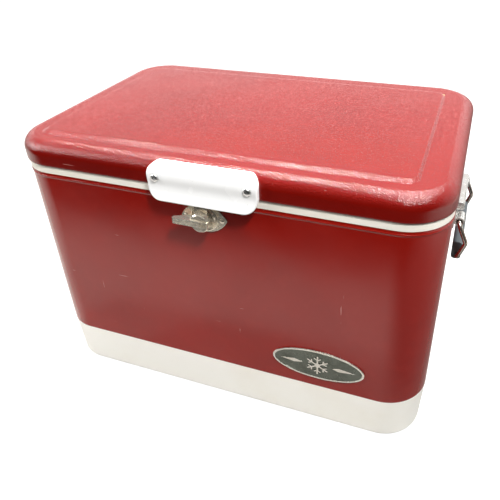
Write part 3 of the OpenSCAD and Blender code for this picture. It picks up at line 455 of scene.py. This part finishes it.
def lid_surface(z):
    """The lid's front face at height z, or the gap in front of the wrap below it."""
    if z < LID_LOW:
        return FRONT - 4
    if z <= SKIRT_TOP:
        return LID_FRONT - 0.02
    s = min(0.999, (z - SKIRT_TOP) / (LID_TOP - SKIRT_TOP))
    return LID_FRONT + SHOULDER * (1 - math.sqrt(1 - s * s)) - 0.02


def pull_ring(half_w, half_h, inset):
    ring = []
    for k, (sx, sz, r) in enumerate(((1, 1, PULL_R_HIGH), (-1, 1, PULL_R_HIGH),
                                     (-1, -1, PULL_R_LOW), (1, -1, PULL_R_LOW))):
        r = min(max(r - inset * 0.6, 4), half_w - 0.01, half_h - 0.01)
        for j in range(PULL_SEG + 1):
            a = math.radians(90 * k + 90 * j / PULL_SEG)
            ring.append((sx * (half_w - r) + r * math.cos(a),
                         sz * (half_h - r) + r * math.sin(a)))
    return ring


def pull_loop(inset, depth):
    """One loop of the pull. depth(x, z) gives its y from where it is on the outline."""
    h = PULL_HIGH - PULL_LOW
    ring = pull_ring(PULL_HALF - inset, h / 2 - inset, inset)
    flat = []
    n = PULL_SEG + 1
    for k in range(4):                           # more points along the two long edges
        corner = ring[k * n:(k + 1) * n]
        nxt = ring[(k + 1) % 4 * n]
        flat += corner
        steps = 16 if k in (0, 2) else 6
        for j in range(1, steps):
            flat.append(tuple(corner[-1][i] + (nxt[i] - corner[-1][i]) * j / steps
                              for i in range(2)))
    out = []
    for x, v in flat:
        z = (PULL_LOW + PULL_HIGH) / 2 + v
        out.append((PULL_X + x, depth(x, z), z))
    return out


def pull_side(x, z):
    """How far back the wall runs: to the lid at the sides and top, open along the bottom."""
    return max(smooth((abs(x) - HOLLOW_HALF) / 12), smooth((z - PULL_LOW - HOLLOW_H) / 6))


def lid_pull():
    rows = []
    h = (PULL_HIGH - PULL_LOW) / 2
    for inset in (h - 0.4, h - 3, 18, 14, 10, 7, 5, 3.6):
        rows.append(pull_loop(inset, lambda x, z: pull_front(z)))
    for a in range(0, 91, 15):
        back = PULL_EDGE * (1 - math.cos(math.radians(a)))
        rows.append(pull_loop(PULL_EDGE * (1 - math.sin(math.radians(a))),
                              lambda x, z, b=back: pull_front(z) + b))
    for share in (0.5, 1.0):
        def side(x, z, share=share):
            start = pull_front(z) + PULL_EDGE
            plate = max(pull_front(z) + PULL_T, start)
            end = plate + pull_side(x, z) * max(0.0, lid_surface(z) - plate)
            return start + (end - start) * share
        rows.append(pull_loop(0, side))

    def inner_back(x, z):
        plate = pull_front(z) + PULL_T
        return plate + pull_side(x, z) * max(0.0, lid_surface(z) - plate)
    rows.append(pull_loop(0.8, inner_back))
    rows.append(pull_loop(2.4, inner_back))

    def hollow(x, z):
        roof = 2.4 if z > SKIRT_TOP + 6 else 0
        return min(pull_front(max(z, PULL_LOW)) + PULL_T + roof * 0.4, lid_surface(z) - 0.2)
    for inset in (3.0, 6, 12, h - 1):
        rows.append(pull_loop(inset, hollow))
    return skin("pull_moulding", rows, caps=(True, True), sharp=48)


def cut(ob, tools):
    """Cuts the tools out of a mesh and keeps the result as its own mesh."""
    for tool in tools:
        m = ob.modifiers.new("cut", "BOOLEAN")
        m.operation, m.object, m.solver = "DIFFERENCE", tool, "EXACT"
    bpy.context.view_layer.update()
    cut_mesh = bpy.data.meshes.new_from_object(ob.evaluated_get(
        bpy.context.evaluated_depsgraph_get()))
    for m in [m for m in ob.modifiers if m.type == "BOOLEAN"]:
        ob.modifiers.remove(m)
    tidy = bmesh.new()                           # the cut leaves slivers, so join their points
    tidy.from_mesh(cut_mesh)
    bmesh.ops.triangulate(tidy, faces=[f for f in tidy.faces if len(f.verts) > 4])
    bmesh.ops.dissolve_degenerate(tidy, dist=0.02 * MM, edges=tidy.edges[:])
    tidy.to_mesh(cut_mesh)
    tidy.free()
    ob.data = cut_mesh
    for tool in tools:
        bpy.data.objects.remove(tool)


def lathe(name, section, place):
    """Turns (radius, height) points round the local +Z of place(point)."""
    seg = 48
    rows = [[place((r * math.cos(2 * math.pi * j / seg), r * math.sin(2 * math.pi * j / seg), h))
             for j in range(seg)] for r, h in section]
    return skin(name, rows, caps=(True, True))


def on_front(x, y, z):
    return lambda p: (x + p[0], y - p[2], z + p[1])


def on_left(x, y, z):
    return lambda p: (x - p[2], y - p[0], z + p[1])


DRAIN_Z = (low("drain_nut", Z) + high("drain_nut", Z)) / 2
boss = [(15.2, -9), (16.6, -4), (16, -0.5), (15.5, 0), (9.4, 0), (9.2, -0.4), (9.2, -9)]
finish_piece(lathe("drain_boss", boss, on_left(-BODY_W / 2 - 0.5, 0, DRAIN_Z)), "chest",
             "base_plastic", BASE)

pull = lid_pull()
PULL_SCREW_Z = LID_LOW + 13.5
PULL_SCREWS = [PULL_X - 62, PULL_X + 62]
BORE = [(5.4, 7.5), (5.4, 12)]                   # the recess round each screw's head
cut(pull, [lathe(f"cutter_{i}", BORE, on_front(x, LID_FRONT, PULL_SCREW_Z))
           for i, x in enumerate(PULL_SCREWS)])
finish_piece(pull, "lid", "pull_plastic", PULL, "lid_handle")


# ---------------------------------------------------------------- materials of the CAD parts

def dress(mat, *names):
    for n in names:
        mesh = nodes[n].data
        mesh.materials.clear()
        mesh.materials.append(mat)


def soften(width, *names):
    """Breaks the sharp edges of a CAD part, so that they catch the light."""
    for n in names:
        bevel = nodes[n].modifiers.new("bevel", "BEVEL")
        bevel.width, bevel.segments, bevel.limit_method = width * MM, 2, "ANGLE"
        bevel.angle_limit = math.radians(40)
        bevel.harden_normals = True


soften(0.35, "latch_lever", "latch_strike", "latch_plate", "badge_emblem")
soften(1.2, "bail_grip_right", "bail_grip_left")
dress(FOAM, "insulation_floor", "insulation_front", "insulation_rear", "insulation_right",
      "insulation_left", "lid_foam")
dress(RED, "rear_seam_strip")
dress(SILVER, "badge_plate", "badge_emblem")
dress(ENAMEL, "badge_field")
dress(NICKEL, "latch_plate", "latch_plate_screws", "latch_strike", "strike_rivets",
      "latch_lever", "latch_cam", "latch_spindle")
dress(SPRING, "latch_spring_washer")
dress(ZINC, "hinge_leaf_body_right", "hinge_leaf_body_left", "hinge_leaf_lid_right",
      "hinge_leaf_lid_left", "hinge_pin_right", "hinge_pin_left")
dress(CHROME, "hinge_screws_body", "hinge_screws_lid", "bracket_screws_right",
      "bracket_screws_left", "lid_handle_screws")
dress(BRACKET, "handle_bracket_right", "handle_bracket_left")
dress(WIRE, "bail_wire_right", "bail_wire_left")
dress(GRIP, "bail_grip_right", "bail_grip_left")
dress(DRAIN, "drain_spout", "drain_nut", "drain_plug")
dress(RUBBER, "drain_seal", "drain_plug_seal")


# ---------------------------------------------------------------- floor, light and camera

def white_room():
    """A pale floor and a bright studio behind and above, dark where the studio ends in front. The
    floor is white to the camera; in reflections and bounce light its colour is painted shade, dark
    in front and beside the right corner.
    """
    mesh = bpy.data.meshes.new("floor")
    far = 8
    mesh.from_pydata([(-far, -far, 0), (far, -far, 0), (far, far, 0), (-far, far, 0)], [],
                     [(0, 1, 2, 3)])
    floor = bpy.data.objects.new("floor", mesh)
    scene.collection.objects.link(floor)
    t = Tree("floor_white_painted_shade")
    seen = t.add("ShaderNodeLightPath").outputs["Is Camera Ray"]
    x, y, _ = t.add("ShaderNodeSeparateXYZ", None, {0: t.where}).outputs
    # Painted shade, seen only in reflections and bounce light: dark beside the right corner, and
    # light again beyond it
    painted_dark_aside = t.math("ADD", t.ramp(x, 0.18, 0.42, 1.0, 0.25), t.ramp(x, 0.7, 1.0, 0.0, 0.75))
    painted_dark_floor = t.mix(t.math("MULTIPLY", t.ramp(y, -0.66, -0.48), painted_dark_aside),
                 (0.015, 0.015, 0.015), (0.42, 0.40, 0.37))
    shade = t.add("ShaderNodeBsdfDiffuse", None, {
        "Color": t.mix(seen, painted_dark_floor, (0.9, 0.9, 0.9))})
    glow = t.add("ShaderNodeEmission", None, {"Strength": 1.25})
    glow.inputs["Color"].default_value = (1, 1, 1, 1)
    both = t.add("ShaderNodeMixShader", None, {0: t.math("MULTIPLY", seen, 0.75),
                                               1: shade.outputs[0], 2: glow.outputs[0]})
    t.links.new(both.outputs[0], t.out.inputs[0])
    mesh.materials.append(t.mat)

    world = bpy.data.worlds.new("studio")
    scene.world = world
    world.use_nodes = True
    n, links = world.node_tree.nodes, world.node_tree.links
    n.clear()
    sep = n.new("ShaderNodeSeparateXYZ")
    links.new(n.new("ShaderNodeTexCoord").outputs["Generated"], sep.inputs[0])

    def ramp(x, a, b, lo, hi):
        m = n.new("ShaderNodeMapRange")
        m.interpolation_type = "SMOOTHSTEP"
        links.new(x, m.inputs[0])
        for i, v in enumerate((a, b, lo, hi), 1):
            m.inputs[i].default_value = v
        return m.outputs[0]

    def op(kind, a, b):
        m = n.new("ShaderNodeMath")
        m.operation = kind
        for i, v in enumerate((a, b)):
            if isinstance(v, bpy.types.NodeSocket):
                links.new(v, m.inputs[i])
            else:
                m.inputs[i].default_value = v
        return m.outputs[0]

    # The lid's flat top mirrors the screen behind it, and the panel's back edge the horizon
    _, ahead, up = sep.outputs
    behind = ramp(ahead, -0.1, 0.35, 0.0, 1.0)
    above = ramp(up, 0.5, 0.85, 0.0, 0.5)
    screen = op("MULTIPLY", ramp(up, 0.32, 0.50, 0.0, 1.1), ramp(up, 0.55, 0.80, 1.0, 0.0))
    horizon = ramp(up, 0.05, 0.30, 1.6, 0.0)
    level = op("ADD", op("ADD", screen, 0.38), horizon)
    sky = op("ADD", op("MAXIMUM", op("MULTIPLY", behind, level), above), 0.10)
    camera_ray = n.new("ShaderNodeLightPath").outputs["Is Camera Ray"]
    strength = op("MAXIMUM", sky, op("MULTIPLY", camera_ray, 1.3))
    back = n.new("ShaderNodeBackground")
    back.inputs[0].default_value = (1, 1, 1, 1)
    links.new(strength, back.inputs[1])
    links.new(back.outputs[0], n.new("ShaderNodeOutputWorld").inputs[0])


def area(name, place, target, size, power):
    light = bpy.data.lights.new(name, "AREA")
    light.shape = "RECTANGLE"
    light.size, light.size_y = size
    light.energy = power
    ob = bpy.data.objects.new(name, light)
    scene.collection.objects.link(ob)
    ob.location = place
    ob.rotation_euler = (Vector(target) - Vector(place)).to_track_quat("-Z", "Y").to_euler()


white_room()
# Small lamps above and behind glint along the shoulder and the panel's front slope, and the
# fills light the front
area("lamp_left", (-0.95, 0.45, 2.1), (-0.3, -0.1, 0.4), (0.14, 0.08), 26)
area("lamp_middle", (-0.1, 0.45, 2.1), (0, -0.1, 0.4), (0.14, 0.08), 38)
area("lamp_right", (0.7, 0.45, 2.0), (0.2, 0, 0.4), (0.14, 0.08), 28)
area("fill_right", (1.0, -1.0, 2.2), (0, -0.1, 0.25), (0.3, 0.3), 66)
area("fill_left", (-2.2, -0.9, 1.3), (0, -0.1, 0.25), (0.8, 0.8), 40)

scene.view_settings.view_transform = "Standard"

# The camera's place in metres, and its own directions
EYE = Vector((0.2955, -0.7065, 0.6886))
RIGHT, DOWN = Vector((0.9405, 0.3391, -0.0232)), Vector((0.1620, -0.5072, -0.8465))
AHEAD = Vector((-0.2988, 0.7923, -0.5319))
FOCAL, SENSOR = 38.84832, 36                     # millimetres
SHIFT = (-0.05986, -0.05632)                     # as shares of the picture's width
lens = bpy.data.cameras.new("camera")
lens.sensor_width = SENSOR
lens.lens = FOCAL
lens.shift_x, lens.shift_y = SHIFT
camera = bpy.data.objects.new("camera", lens)
scene.collection.objects.link(camera)
camera.matrix_world = Matrix((
    (RIGHT.x, -DOWN.x, -AHEAD.x, EYE.x), (RIGHT.y, -DOWN.y, -AHEAD.y, EYE.y),
    (RIGHT.z, -DOWN.z, -AHEAD.z, EYE.z), (0, 0, 0, 1)))
scene.camera = camera

bpy.context.view_layer.update()
